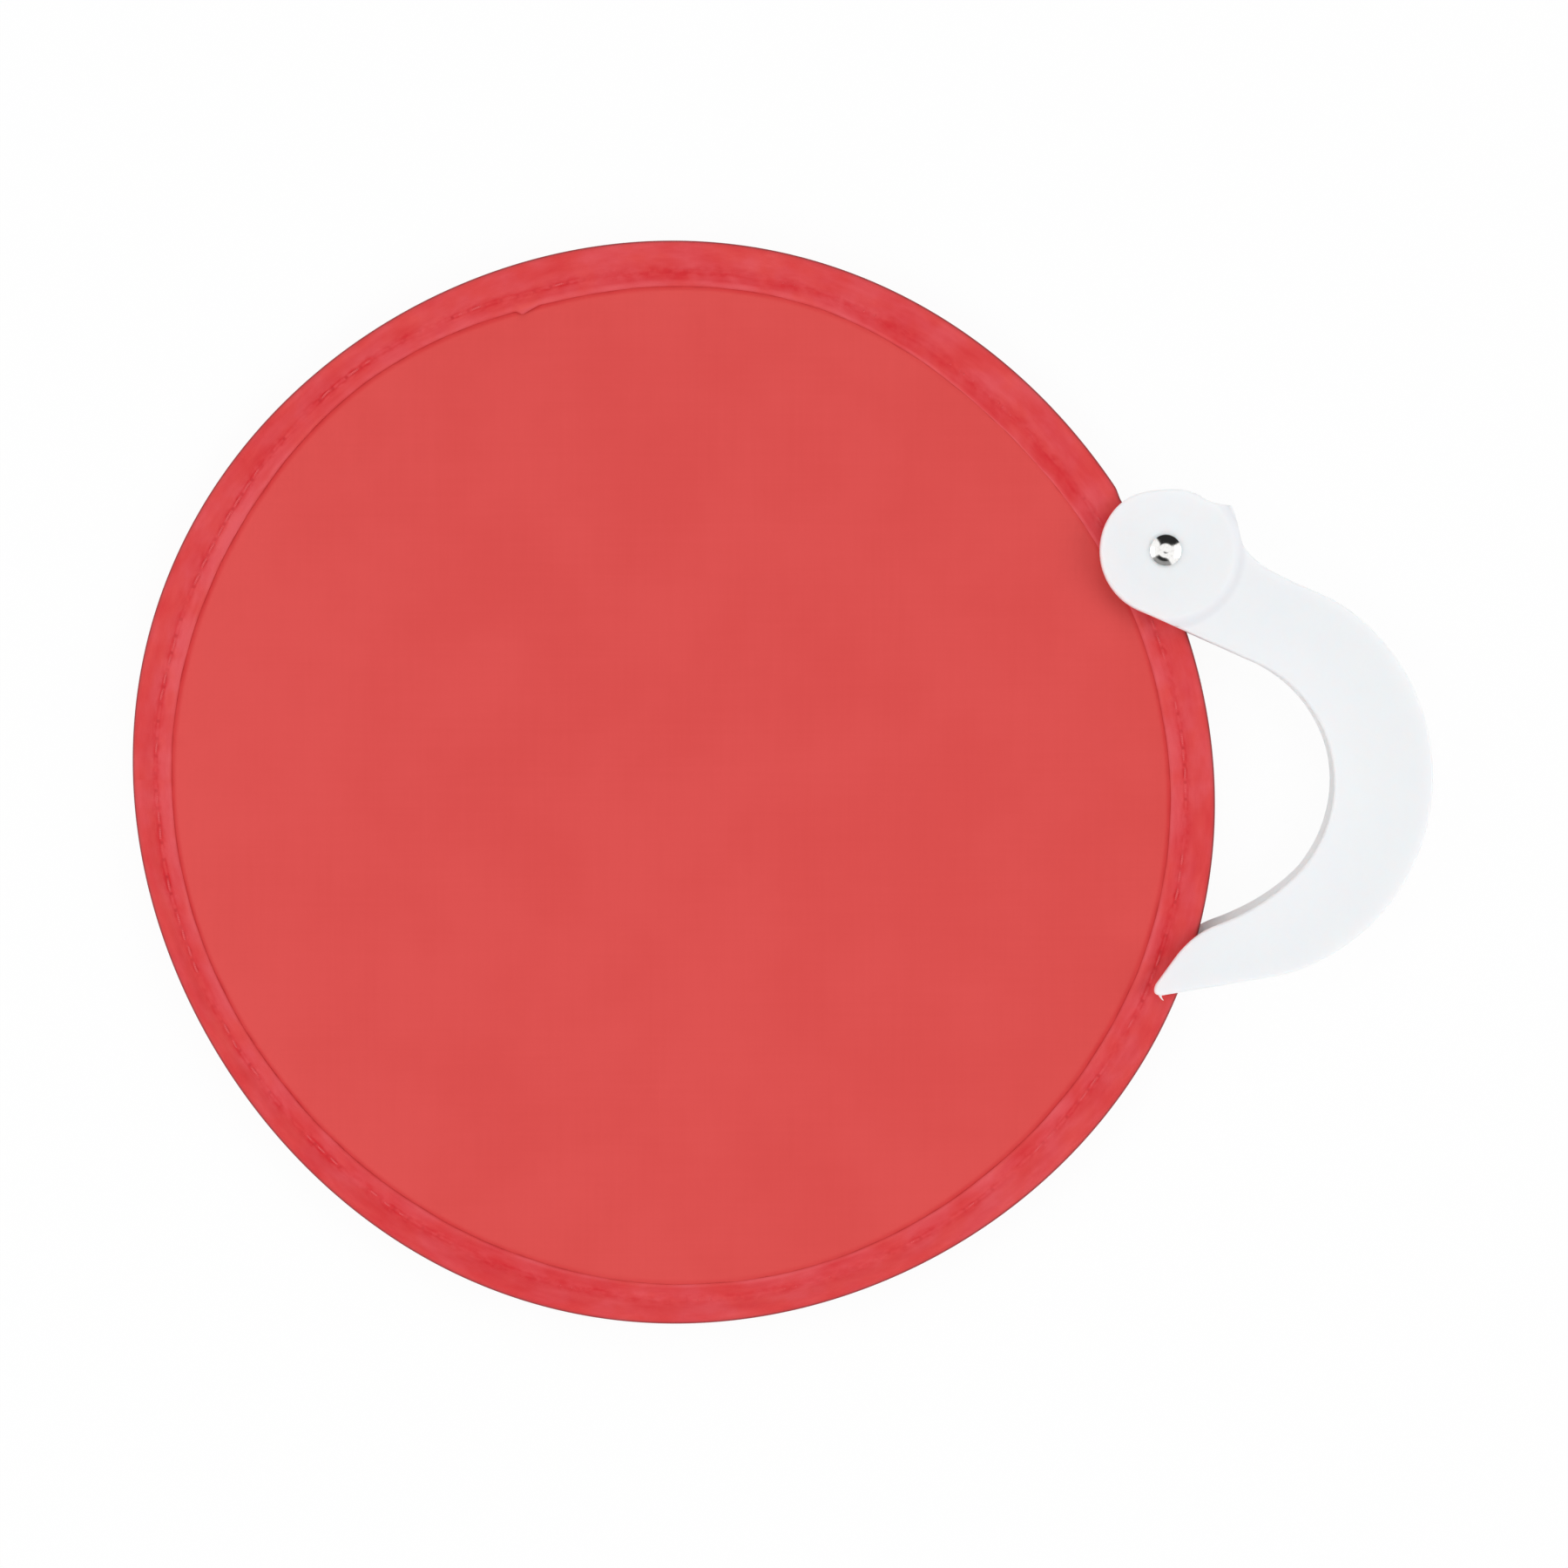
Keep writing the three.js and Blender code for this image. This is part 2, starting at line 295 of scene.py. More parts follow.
cloth = {
    # The fold red is a painted shadow that the hem's fold throws on the cloth beside it
    "red": (0.728, 0.078, 0.073, 1), "deepRed": (0.690, 0.066, 0.061, 1),
    "foldShadowRed": (0.67, 0.040, 0.041, 1), "specular": 0.25, "sheen": 0.06,
    "cloud": (38.0, 3.0), "cloudEnds": (0.3, 0.7), "slub": (900.0, 2.0), "slubThin": 0.035,
    "cloudShare": 0.35, "slubShare": 0.22, "gapShare": 0.3, "toneEnds": (0.1, 0.95),
    # The two numbers on the next line paint the left part of the cloth lighter, as painted light from
    # that side
    "litLeftEnds": (-125 * mm, -50 * mm), "litLeftShare": 0.3,
    "rough": 0.82, "yarnShine": 0.14, "relief": 0.03 * mm, "reliefShare": 0.5, "slubRelief": 0.4,
    "yarn": 0.26 * mm, "corners": 288, "tuck": 2.8 * mm, "thickness": 0.25 * mm,
    "foldRing": 0.3 * mm, "foldRings": 8, "ringGrowth": 1.22, "widestRing": 3 * mm, "middle": 2 * mm,
    "strayFrom": (3 * mm, 6 * mm), "strayTo": (14 * mm, 45 * mm),
    "slack": 0.16 * mm, "slackWaves": ((2, 3, 5, 7), 5), "slackTwist": 1.7,
    "pucker": 0.1 * mm, "puckerWaves": ((61, 83, 97, 131, 149), 3), "puckerReach": 9 * mm,
    "shadeEnds": (0.35 * mm, 1.3 * mm), "shadeWaves": ((13, 29, 47), 7),
    "shadeLevel": 0.85, "shadeSwing": 0.3,
    "pale": [(48, 26, 0.9), (-88, 24, 0.6)],  # where the fold's painted shadow on the cloth is hardly a line
}


def clothFinish():
    material, wire, shader = newFinish(
        "red_nylon", Specular_IOR_Level=cloth["specular"], Sheen_Weight=cloth["sheen"])
    place = wire.place()
    yarns = weave(place.part(0), place.part(1), cloth["yarn"])
    cloud = place.noise(*cloth["cloud"]).between(*cloth["cloudEnds"])
    thin = cloth["slubThin"]
    slubs = place.noise(*cloth["slub"], (thin, 1, 1)) + place.noise(*cloth["slub"], (1, thin, 1))
    # Painted light: the cloth is lighter towards the left, where more light falls
    litLeft = 1 - (place.part(0) - discAt.x).between(*cloth["litLeftEnds"])
    tone = cloud * cloth["cloudShare"] + slubs * cloth["slubShare"] + (1 - yarns) * cloth["gapShare"]
    tone = (tone - litLeft * cloth["litLeftShare"]).between(*cloth["toneEnds"])
    red = tone.blend(cloth["red"], cloth["deepRed"])
    # Painted shadow of the hem's fold on the cloth, read from the fold number
    join(shader, "Base Color", wire.kept("fold").blend(red, cloth["foldShadowRed"]))
    join(shader, "Roughness", cloth["rough"] - yarns * cloth["yarnShine"])
    relief = yarns + slubs * cloth["slubRelief"]
    join(shader, "Normal", bump(wire, relief, cloth["relief"], cloth["reliefShare"]))
    return material


# The grain is the size, detail and stretch of each kind of unevenness along the tape.
# Reach along a stitch is a share of it, reach off the seam is in millimetres.
tape = {
    "pinkRed": (0.765, 0.100, 0.113, 1), "warmRed": (0.770, 0.086, 0.080, 1),
    # The deep red paints shade in the trough between seam and fold, and the shade red paints shade
    # along the outer edge; the needle red below paints shade in the needle holes
    "deepRed": (0.645, 0.023, 0.030, 1), "shadeRed": (0.30, 0.034, 0.038, 1),
    "holeShadeRed": (0.55, 0.022, 0.029, 1), "yarn": 0.3 * mm,
    "grain": {
        "cloud": (60.0, 3.0), "rub": (420.0, 3.0, (0.25, 1, 1)), "blotch": (170.0, 3.0, (0.6, 1, 1)),
        "crumple": (260.0, 2.0, (0.6, 1, 1)), "fleck": (800.0, 2.0, (0.5, 1, 1)),
    },
    "deepens": {"cloud": 0.8, "rub": 0.9, "blotch": 0.5},
    "gapShare": 0.1, "grooveShadeShare": 0.4, "level": 1.05,
    "needleLong": (0.04, 0.15), "needleWide": (0.15, 0.55),
    "grooveShadeFrom": (0.16, 0.34), "grooveShadeTo": (0.42, 0.85),
    "fleckTo": (0.7, 1.6), "fleckEnds": (0.38, 0.62), "fleckShare": 0.15,
    "hueEnds": (0.28, 0.62), "hueTurn": 12.0, "rubRelief": 0.5, "crumpleRelief": 12,
}


def tapeFinish():
    material, wire, shader = newFinish(
        "red_tape", Specular_IOR_Level=cloth["specular"], Sheen_Weight=cloth["sheen"])
    run = wire.node("ShaderNodeUVMap", {"uv_map": "run"})
    yarns = weave(run.part(0), run.part(1), tape["yarn"])
    grain = {name: run.noise(*kind) for name, kind in tape["grain"].items()}
    off, pulled = wire.kept("fromSeam").size(), wire.kept("pulled")
    # Painted shade in the needle holes, darker where the thread is pulled tight
    holeShade = (1 - wire.kept("toHole").between(*tape["needleLong"])) * pulled
    holeShade = holeShade * (1 - off.between(*tape["needleWide"]))
    # Painted shade in a band on both sides of the seam, deeper where the thread is pulled tight
    pressed = off.between(*tape["grooveShadeFrom"]) * (1 - off.between(*tape["grooveShadeTo"])) * pulled
    fleck = grain["fleck"].between(*tape["fleckEnds"]) * (1 - off.between(*tape["fleckTo"]))
    # The crease number is painted shade in the trough and painted light on the fold line
    tone = wire.kept("crease") + (1 - yarns) * tape["gapShare"] + pressed * tape["grooveShadeShare"]
    for name, share in tape["deepens"].items():
        tone = tone + grain[name] * share
    tone = tone - tape["level"] + fleck * (pulled + 1) * tape["fleckShare"]
    hue = (grain["blotch"] - run.part(1) * tape["hueTurn"]).between(*tape["hueEnds"])
    body = tone.blend(hue.blend(tape["pinkRed"], tape["warmRed"]), tape["deepRed"])
    body = holeShade.blend(body, tape["holeShadeRed"])
    join(shader, "Base Color", wire.kept("edge").blend(body, tape["shadeRed"]))
    join(shader, "Roughness", cloth["rough"] - yarns * cloth["yarnShine"])
    relief = yarns + grain["rub"] * tape["rubRelief"] + grain["crumple"] * tape["crumpleRelief"]
    join(shader, "Normal", bump(wire, relief, cloth["relief"], cloth["reliefShare"]))
    return material


thread = {
    "red": (0.79, 0.108, 0.116, 1), "deepRed": (0.70, 0.068, 0.075, 1), "specular": 0.2,
    "twists": 7, "rough": 0.62, "plyRough": 0.1, "relief": 0.04 * mm, "reliefShare": 0.7,
}


def threadFinish():
    material, wire, shader = newFinish("red_thread", Specular_IOR_Level=thread["specular"])
    run = wire.node("ShaderNodeUVMap", {"uv_map": "run"})
    ply = ((run.part(0) * thread["twists"] + run.part(1)) * (2 * math.pi)).sine() * 0.5 + 0.5
    # The grooves between the twisted plies are painted a deeper red as shade, besides the bump
    join(shader, "Base Color", (1 - ply).blend(thread["red"], thread["deepRed"]))
    join(shader, "Roughness", thread["rough"] + ply * thread["plyRough"])
    join(shader, "Normal", bump(wire, ply, thread["relief"], thread["reliefShare"]))
    return material


milky = {
    "white": (0.885, 0.902, 0.938, 1), "cloudWhite": (0.872, 0.890, 0.928, 1),
    "stepShadeWhite": (0.838, 0.850, 0.880, 1), "slotLightWhite": (0.985, 0.980, 0.975, 1),
    "depth": (1.2, 1.0, 0.95), "depthScale": 1.3 * mm, "specular": 0.4, "index": 1.49,
    "cloud": (55.0, 3.0), "flow": (160.0, 2.0, (1, 0.3, 1)), "satin": (5200.0, 2.0),
    "cloudShare": 0.6, "flowShare": 0.4, "cloudEnds": (0.3, 0.75),
    "stepShadeFade": 1.2 * mm, "slotLightEnds": (3.75 * mm, 4.1 * mm),
    "rough": 0.4, "satinRough": 0.1, "cloudRough": 0.06, "relief": 0.006 * mm, "reliefShare": 0.4,
}


def milkyFinish():
    material, wire, shader = newFinish(
        "milky_plastic", Subsurface_Weight=1.0, Subsurface_Radius=milky["depth"],
        Subsurface_Scale=milky["depthScale"], Specular_IOR_Level=milky["specular"], IOR=milky["index"])
    place = wire.place()
    cloud, flow, satin = (place.noise(*milky[name]) for name in ("cloud", "flow", "satin"))
    plain = (cloud * milky["cloudShare"] + flow * milky["flowShare"]).between(*milky["cloudEnds"])
    white = plain.blend(milky["white"], milky["cloudWhite"])
    east, north = place.part(0) - rivetAt.x, place.part(1) - rivetAt.y
    out = (east * east + north * north) ** 0.5
    foot, top = handle["bossFoot"] * mm, handle["bossRim"] * mm
    # Painted shade in a ring at the foot of the hub's raised step, fading out over the arm
    stepShade = out.between(top, foot) * (1 - out.between(foot, foot + milky["stepShadeFade"]))
    # Painted light: the faces inside the slot between the leaves are painted brighter than the
    # outside, as if lit within
    inside = 1 - (place.part(2) - rivetAt.z).size().between(*milky["slotLightEnds"])
    white = stepShade.blend(white, milky["stepShadeWhite"])
    join(shader, "Base Color", inside.blend(white, milky["slotLightWhite"]))
    rough = milky["rough"] + satin * milky["satinRough"] + cloud * milky["cloudRough"]
    join(shader, "Roughness", rough)
    join(shader, "Normal", bump(wire, satin, milky["relief"], milky["reliefShare"]))
    return material


nickel = {
    "bright": (0.95, 0.94, 0.92, 1), "worn": (0.84, 0.82, 0.80, 1), "wornEnds": (0.45, 0.8),
    "rub": (1400.0, 4.0), "fine": (6000.0, 2.0),
    "rough": 0.07, "rubRough": 0.1, "relief": 0.001 * mm, "reliefShare": 0.3,
}


def nickelFinish():
    material, wire, shader = newFinish("nickel_plate", Metallic=1.0)
    place = wire.place()
    rub, fine = place.noise(*nickel["rub"]), place.noise(*nickel["fine"])
    worn = rub.between(*nickel["wornEnds"])
    join(shader, "Base Color", worn.blend(nickel["bright"], nickel["worn"]))
    join(shader, "Roughness", nickel["rough"] + rub * nickel["rubRough"])
    join(shader, "Normal", bump(wire, fine + rub, nickel["relief"], nickel["reliefShare"]))
    return material


spring = {
    "steel": (0.30, 0.31, 0.33, 1), "blued": (0.16, 0.17, 0.19, 1), "stainEnds": (0.4, 0.7),
    "drawn": (3000.0, 2.0, (0.3, 0.3, 1)), "stain": (80.0, 4.0),
    "rough": 0.24, "drawnRough": 0.2, "relief": 0.005 * mm, "reliefShare": 0.4,
}


def springFinish():
    material, wire, shader = newFinish("spring_steel", Metallic=1.0)
    place = wire.place()
    drawn, stain = place.noise(*spring["drawn"]), place.noise(*spring["stain"])
    stained = stain.between(*spring["stainEnds"])
    join(shader, "Base Color", stained.blend(spring["steel"], spring["blued"]))
    join(shader, "Roughness", spring["rough"] + drawn * spring["drawnRough"])
    join(shader, "Normal", bump(wire, drawn, spring["relief"], spring["reliefShare"]))
    return material


# Rim: a hoop that springs a little out of round
rim = {
    "radius": 125 * mm, "oval": 1.4 * mm, "ovalAt": math.radians(-47),
    "square": 0.7 * mm, "squareAt": math.radians(-15.5),
}


def rimAt(angle):
    oval = rim["oval"] * np.cos(2 * (angle - rim["ovalAt"]))
    square = rim["square"] * np.cos(4 * (angle - rim["squareAt"]))
    return rim["radius"] + oval + square


# Angle, inset from the rim and height above the cloth of each point
def rimPlaces(piece):
    east, north, height = (placesOf(piece) - np.array(discAt)).T
    return np.arctan2(north, east), rim["radius"] - np.hypot(east, north), height


def fromRim(angle, inset, height):
    reach = rimAt(angle) - inset
    flat = np.stack([reach * np.cos(angle), reach * np.sin(angle), height], axis=1)
    return flat + np.array(discAt)


# Uneven waves round the rim: how many of each kind, and the seed of their draws
def waves(angle, counts, seed, least=0.6):
    draw = random.Random(seed)
    total = np.zeros_like(angle)
    for count in counts:
        total += np.sin(count * angle + draw.uniform(0, 2 * math.pi)) * draw.uniform(least, 1.0)
    return total / len(counts)


def step(value, low, high):
    share = np.clip((value - low) / (high - low), 0, 1)
    return share * share * (3 - 2 * share)


def bell(value, middle, width):
    return np.exp(-((value - middle) / width) ** 2)


# Turn in radians, within half a turn either way
def wrapped(turn):
    return (turn + math.pi) % (2 * math.pi) - math.pi


# Soft patches round the rim: the turn and the spread of each in degrees, and its strength
def patches(angle, rows):
    degrees = np.degrees(wrapped(angle))
    return sum(strength * bell(degrees, turn, spread) for turn, spread, strength in rows)


# One patch at the left, where the degrees close
def leftPatch(angle, turn, spread, strength):
    return strength * bell(np.degrees(wrapped(angle - math.radians(turn))), 0, spread)


# Cloth: a disc drawn tight, its edge tucked into the hem
def makeCloth():
    clearPick()
    outer = rim["radius"] - cloth["tuck"]
    bpy.ops.mesh.primitive_circle_add(
        vertices=cloth["corners"], radius=outer, fill_type="NGON", location=discAt)
    piece = bpy.context.object
    piece.name = "fan_cloth"
    openMesh(piece, start="SELECT")
    rings = [hem["width"] - cloth["tuck"] - cloth["foldRing"]]
    rings += [cloth["foldRing"]] * cloth["foldRings"]
    while sum(rings) < outer - cloth["middle"]:
        wider = min(rings[-1] * cloth["ringGrowth"], cloth["widestRing"])
        rings.append(min(wider, outer - cloth["middle"] / 2 - sum(rings)))
    for width in rings:
        bpy.ops.mesh.inset(thickness=width, use_boundary=True)
    bpy.ops.mesh.poke()
    bpy.ops.object.mode_set(mode="OBJECT")
    bpy.ops.object.transform_apply(location=True, rotation=True, scale=True)
    angle, inset, height = rimPlaces(piece)
    reach = 1 - np.clip(inset / rim["radius"], 0, 1)  # 1 at the rim, 0 in the middle
    trueInset = inset + (rimAt(angle) - rim["radius"]) * (1 - reach)  # the middle stays put
    stray = step(inset, *cloth["strayFrom"]) * (1 - step(inset, *cloth["strayTo"]))
    trueInset += hemWander(angle) * stray
    fromFold = np.clip(inset - hem["width"], 0, None)
    pucker = waves(angle, *cloth["puckerWaves"]) * np.exp(-fromFold / cloth["puckerReach"])
    slack = waves(angle + reach * cloth["slackTwist"], *cloth["slackWaves"])
    slack = slack * np.sin(math.pi * reach) * reach
    lift = cloth["pucker"] * pucker + cloth["slack"] * slack
    movePoints(piece, fromRim(angle, trueInset, height + lift))
    # Painted shadow of the fold on the cloth, strongest right beside it and uneven round the rim
    shade = 1 - step(inset - hem["width"], *cloth["shadeEnds"])
    shade *= 1 - patches(angle, cloth["pale"])
    shade *= cloth["shadeLevel"] + cloth["shadeSwing"] * waves(angle, *cloth["shadeWaves"])
    addShade(piece, "fold", shade)
    applyModifier(piece, "SOLIDIFY", thickness=cloth["thickness"], offset=0)
    return finishPiece(piece, clothFinish(), "fan", "panel_cloth", "fan_panel")


# Hem: a tape folded round the rim and sewn through, its inner edges turned under.
# Half of its section, as inset from the rim and height above the cloth, and its wander, as turn in
# degrees and stray inwards, are in millimetres.
hem = {
    "width": 9.5 * mm, "seam": 6 * mm, "stitches": 187, "ringsPerStitch": 4,
    "over": [
        (8.4, 0.17), (9.35, 0.16), (9.6, 0.28), (9.2, 0.62), (8.0, 0.72), (6.5, 0.6),
        (5.5, 0.64), (4.3, 1.08), (2.8, 1.58), (1.2, 1.92), (0.1, 1.6), (-0.02, 0.6),
    ],
    "inside": [(6.2, 0.28), (2.4, 1.12), (0.55, 1.3)],
    "wander": [
        (-160, -1.4), (-110, 0.0), (-75, -0.8), (-30, 0.9), (15, 0.7), (50, 2.0), (75, 0.7),
        (102, 1.2), (128, -0.7), (152, 0.4),
    ],
    "wanderEnds": (1.5 * mm, 5.5 * mm),
    "seamStray": 0.22 * mm, "seamWaves": ((9, 14, 23, 37), 11),
    "foldStray": 0.16 * mm, "foldWaves": ((7, 12, 19, 31, 53), 17),
    "notch": 12.3 * mm, "notchDepth": 3.2 * mm,
    "pinch": 0.62 * mm, "pinchEnds": (19 * mm, 15 * mm), "pinchReach": 4 * mm,
    "lapAt": math.radians(108.6), "lapStep": 1.2 * mm, "lapRise": 1.4 * mm, "lapWidth": 6.2 * mm,
    "lapPad": 0.25 * mm, "lapPadEnds": (7 * mm, 8.2 * mm),
    "tension": (0.25, 1.0), "tensionSeed": 61,
    "hole": 0.24 * mm, "holeLong": 0.13, "holeWide": 0.5 * mm,
    "groove": 0.06 * mm, "grooveWide": 0.8 * mm, "pillow": 0.12 * mm, "pillowReach": 1.5 * mm,
    "pucker": 0.2 * mm, "puckerWaves": ((41, 67, 89, 113, 151), 23), "puckerLean": 2.2,
    "outerShare": 0.35, "outerWaves": ((53, 71, 103, 139), 29), "outerLean": 3.0,
    "outerAt": 4 * mm, "outerWide": 1.8 * mm, "turnedEdge": 0.5 * mm,
    "flat": [(45, 20, 1.0), (-88, 20, 0.7)], "flatShare": 0.45, "flatEnds": (7.0 * mm, 8.6 * mm),
    "sinks": [(62, 45, 0.9), (-90, 45, 0.85)], "sinkRuns": 0.75, "sinkPlain": (175, 14, 0.6),
    "sinkWaves": ((17, 26, 41), 53), "sinkEnds": (-0.05, 0.4), "edgeShade": (0.2 * mm, 0.8 * mm),
}


def makeHem():
    over, inside = hem["over"], hem["inside"]
    under = [(inset, -height) for inset, height in reversed(over)]
    core = [(inset, -height) for inset, height in inside] + inside[::-1]
    section = over + under + core
    points = [(rim["radius"] - inset * mm, 0, height * mm) for inset, height in section]
    piece = drawnLoop("rim_tape", points, discAt)
    openMesh(piece, "EDGE", "SELECT")
    steps = hem["stitches"] * hem["ringsPerStitch"]
    bpy.ops.mesh.spin(steps=steps, angle=2 * math.pi, center=discAt, axis=(0, 0, 1))
    closeMesh(piece)
    bpy.ops.object.transform_apply(location=True, rotation=True, scale=True)
    applyModifier(piece, "SUBSURF", levels=1, render_levels=1)
    sewHem(piece)
    return finishPiece(piece, tapeFinish(), "fan", "hem_tape", "rim_binding", smoothUnder=60)


# How far the fold and the seam stray inwards round the rim
def hemWander(angle):
    turns, sizes = zip(*hem["wander"])
    turns = np.radians([turns[-1] - 360, *turns, turns[0] + 360])
    sizes = np.array([sizes[-1], *sizes, sizes[0]]) * mm
    angle = wrapped(angle)
    seat = np.searchsorted(turns, angle) - 1
    share = step(angle, turns[seat], turns[seat + 1])
    return sizes[seat] + share * (sizes[seat + 1] - sizes[seat])


def seamStray(angle):
    return hem["seamStray"] * waves(angle, *hem["seamWaves"])


# How far the thread stands out: it sinks at the top, at the bottom and in short runs
def tightness(angle):
    runs = hem["sinkRuns"] - leftPatch(angle, *hem["sinkPlain"])  # fewer of them at the left
    runs = runs * step(waves(angle, *hem["sinkWaves"]), *hem["sinkEnds"])
    return (1 - patches(angle, hem["sinks"])) * (1 - runs)


# Pulls the tape down at the stitches, puckers it between them and shapes it at the hub and the lap
def sewHem(piece):
    angle, inset, height = rimPlaces(piece)
    side = np.sign(height)
    fromRivet = wrapped(angle - rivetAngle) * rim["radius"]
    pastLap = wrapped(hem["lapAt"] - angle) * rim["radius"]
    along = (angle % (2 * math.pi)) / (2 * math.pi) * hem["stitches"] + np.where(side > 0, 0, 0.5)
    toHole = np.abs((along + 0.5) % 1 - 0.5)  # 0 at a needle hole, 0.5 mid-stitch
    fromSeam = inset - hem["seam"] - seamStray(angle)
    innerPart = step(inset, hem["seam"], hem["width"])
    lapRise, lapWidth = hem["lapRise"], hem["lapWidth"]
    lap = np.minimum(pastLap / lapRise, (lapWidth - pastLap) / (lapWidth - lapRise))
    lap = np.clip(lap, 0, 1) * (side > 0)
    foldStray = hem["foldStray"] * waves(angle, *hem["foldWaves"])
    pinch = step(fromRivet, *hem["pinchEnds"]) * (fromRivet > 0)

    newInset = inset + innerPart * (foldStray + lap * hem["lapStep"])
    newInset += hemWander(angle) * step(inset, *hem["wanderEnds"])
    newInset += pinch * hem["pinch"] * (1 - step(inset, 0, hem["pinchReach"]))
    inNotch = np.abs(fromRivet) < hem["notch"]
    newInset = np.where(inNotch, np.maximum(newInset, hem["notchDepth"]), newInset)

    draw = random.Random(hem["tensionSeed"])
    tension = np.array([draw.uniform(*hem["tension"]) for number in range(hem["stitches"])])
    pulled = tension[np.round(along).astype(int) % hem["stitches"]] * tightness(angle)
    hole = bell(toHole, 0, hem["holeLong"]) * bell(fromSeam, 0, hem["holeWide"]) * pulled
    groove = bell(fromSeam, 0, hem["grooveWide"])
    pillow = np.cos(2 * math.pi * toHole) * np.exp(-np.abs(fromSeam) / hem["pillowReach"])
    pucker = waves(angle + inset * hem["puckerLean"], *hem["puckerWaves"]) * innerPart
    outer = waves(angle - inset * hem["outerLean"], *hem["outerWaves"])
    outer = outer * bell(inset, hem["outerAt"], hem["outerWide"])
    lapPad = lap * step(inset, *hem["lapPadEnds"])
    lift = -hem["hole"] * hole - hem["groove"] * groove - hem["pillow"] * pillow
    lift += hem["pucker"] * (pucker + hem["outerShare"] * outer) + hem["lapPad"] * lapPad
    raised = np.clip(np.abs(height) / hem["turnedEdge"], 0, 1)  # the turned edge stays on the cloth
    flat = patches(angle, hem["flat"])  # the fold is flatter in two places
    pressed = 1 - hem["flatShare"] * flat * step(inset, *hem["flatEnds"])
    movePoints(piece, fromRim(angle, newInset, (height + side * lift * raised) * pressed))

    # Painted shade and light of the tape, and a painted dark line where the outer edge rolls away
    addShade(piece, "crease", paintedTapeShade(angle, inset, flat) * (1 - lapPad))
    addShade(piece, "fromSeam", fromSeam / mm)
    addShade(piece, "toHole", toHole)
    addShade(piece, "pulled", pulled)
    addShade(piece, "edge", 1 - step(inset, *hem["edgeShade"]))
    unrollTape(piece, angle, newInset)


# Painted shade and light of the tape. The fold is a painted pale highlight line: its strength, inset
# and width, each with what is added where it lies flat. Top, right and over the hub, the trough
# between seam and fold is painted a deeper red as shade, and patches round the rim are painted lighter
# or darker where light falls more or less.
tapeShading = {
    "level": 0.35, "innerEnd": 7 * mm, "innerPale": 0.03,
    "fold": [(0.22, 0.2), (8.95 * mm, 0.4 * mm), (0.4 * mm, -0.18 * mm)],
    "whole": [(-110, 30, 0.15)], "outer": [(-55, 18, -0.1)],
    "inner": [(-80, 25, 0.1), (3, 20, -0.07)], "innerLeft": (160, 22, -0.22),
    "slide": 0.9 * mm, "troughFrom": (5.2 * mm, 6.0 * mm), "troughTo": (8.1 * mm, 8.6 * mm),
    "top": [(80, 36, 1.0)], "right": [(-17, 9, 0.5)], "overHub": [(44, 15, 0.25), (33, 7, 0.5)],
    "strokeWaves": ((61, 89, 127, 173, 229), 37), "strokeLean": 5, "strokeEnds": (-0.35, 0.25),
    "deepShare": 0.16, "strokeShare": 0.14,
}


def paintedTapeShade(angle, inset, flat):
    pale, foldAt, foldWide = (plain + more * flat for plain, more in tapeShading["fold"])
    inner = step(inset, hem["seam"], tapeShading["innerEnd"])
    innerShade = patches(angle, tapeShading["inner"]) + leftPatch(angle, *tapeShading["innerLeft"])
    shade = tapeShading["level"] - pale * bell(inset, foldAt, foldWide) + patches(angle, tapeShading["whole"])
    shade += inner * (innerShade - tapeShading["innerPale"])
    shade += (1 - inner) * patches(angle, tapeShading["outer"])
    slid = inset - tapeShading["slide"] * flat
    trough = step(slid, *tapeShading["troughFrom"]) * (1 - step(slid, *tapeShading["troughTo"]))
    deep = np.maximum(patches(angle, tapeShading["top"]), patches(angle, tapeShading["right"]))
    deep = deep + patches(angle, tapeShading["overHub"])
    strokes = waves(angle + inset * tapeShading["strokeLean"], *tapeShading["strokeWaves"])
    strokes = tapeShading["deepShare"] + tapeShading["strokeShare"] * step(strokes, *tapeShading["strokeEnds"])
    return shade + trough * deep * strokes


# Lays the run of the tape, in metres, into a map of its own
def unrollTape(piece, angle, inset):
    mesh = piece.data
    corners = np.empty(len(mesh.loops), int)
    mesh.loops.foreach_get("vertex_index", corners)
    starts = np.empty(len(mesh.polygons), int)
    mesh.polygons.foreach_get("loop_start", starts)
    counts = np.empty(len(mesh.polygons), int)
    mesh.polygons.foreach_get("loop_total", counts)
    first = np.repeat(angle[corners[starts]], counts)
    turn = first + wrapped(angle[corners] - first)  # no jump where the turn closes
    run = mesh.uv_layers.new(name="run")
    flat = np.stack([turn * rim["radius"], inset[corners]], axis=1)
    run.data.foreach_set("uv", flat.astype(np.float32).ravel())


# Stitches: one short length of thread, pulled through at both ends, set round the seam
stitch = {
    "length": 2.9 * mm, "radius": 0.27 * mm, "arch": 0.55 * mm, "archPower": 0.7,
    "sides": 6, "parts": 6, "height": 0.25 * mm, "sink": 0.5 * mm, "loose": 0.4 * mm,
    "slant": math.radians(5), "stray": 0.14 * mm, "frontSeed": 41, "backSeed": 43,
}


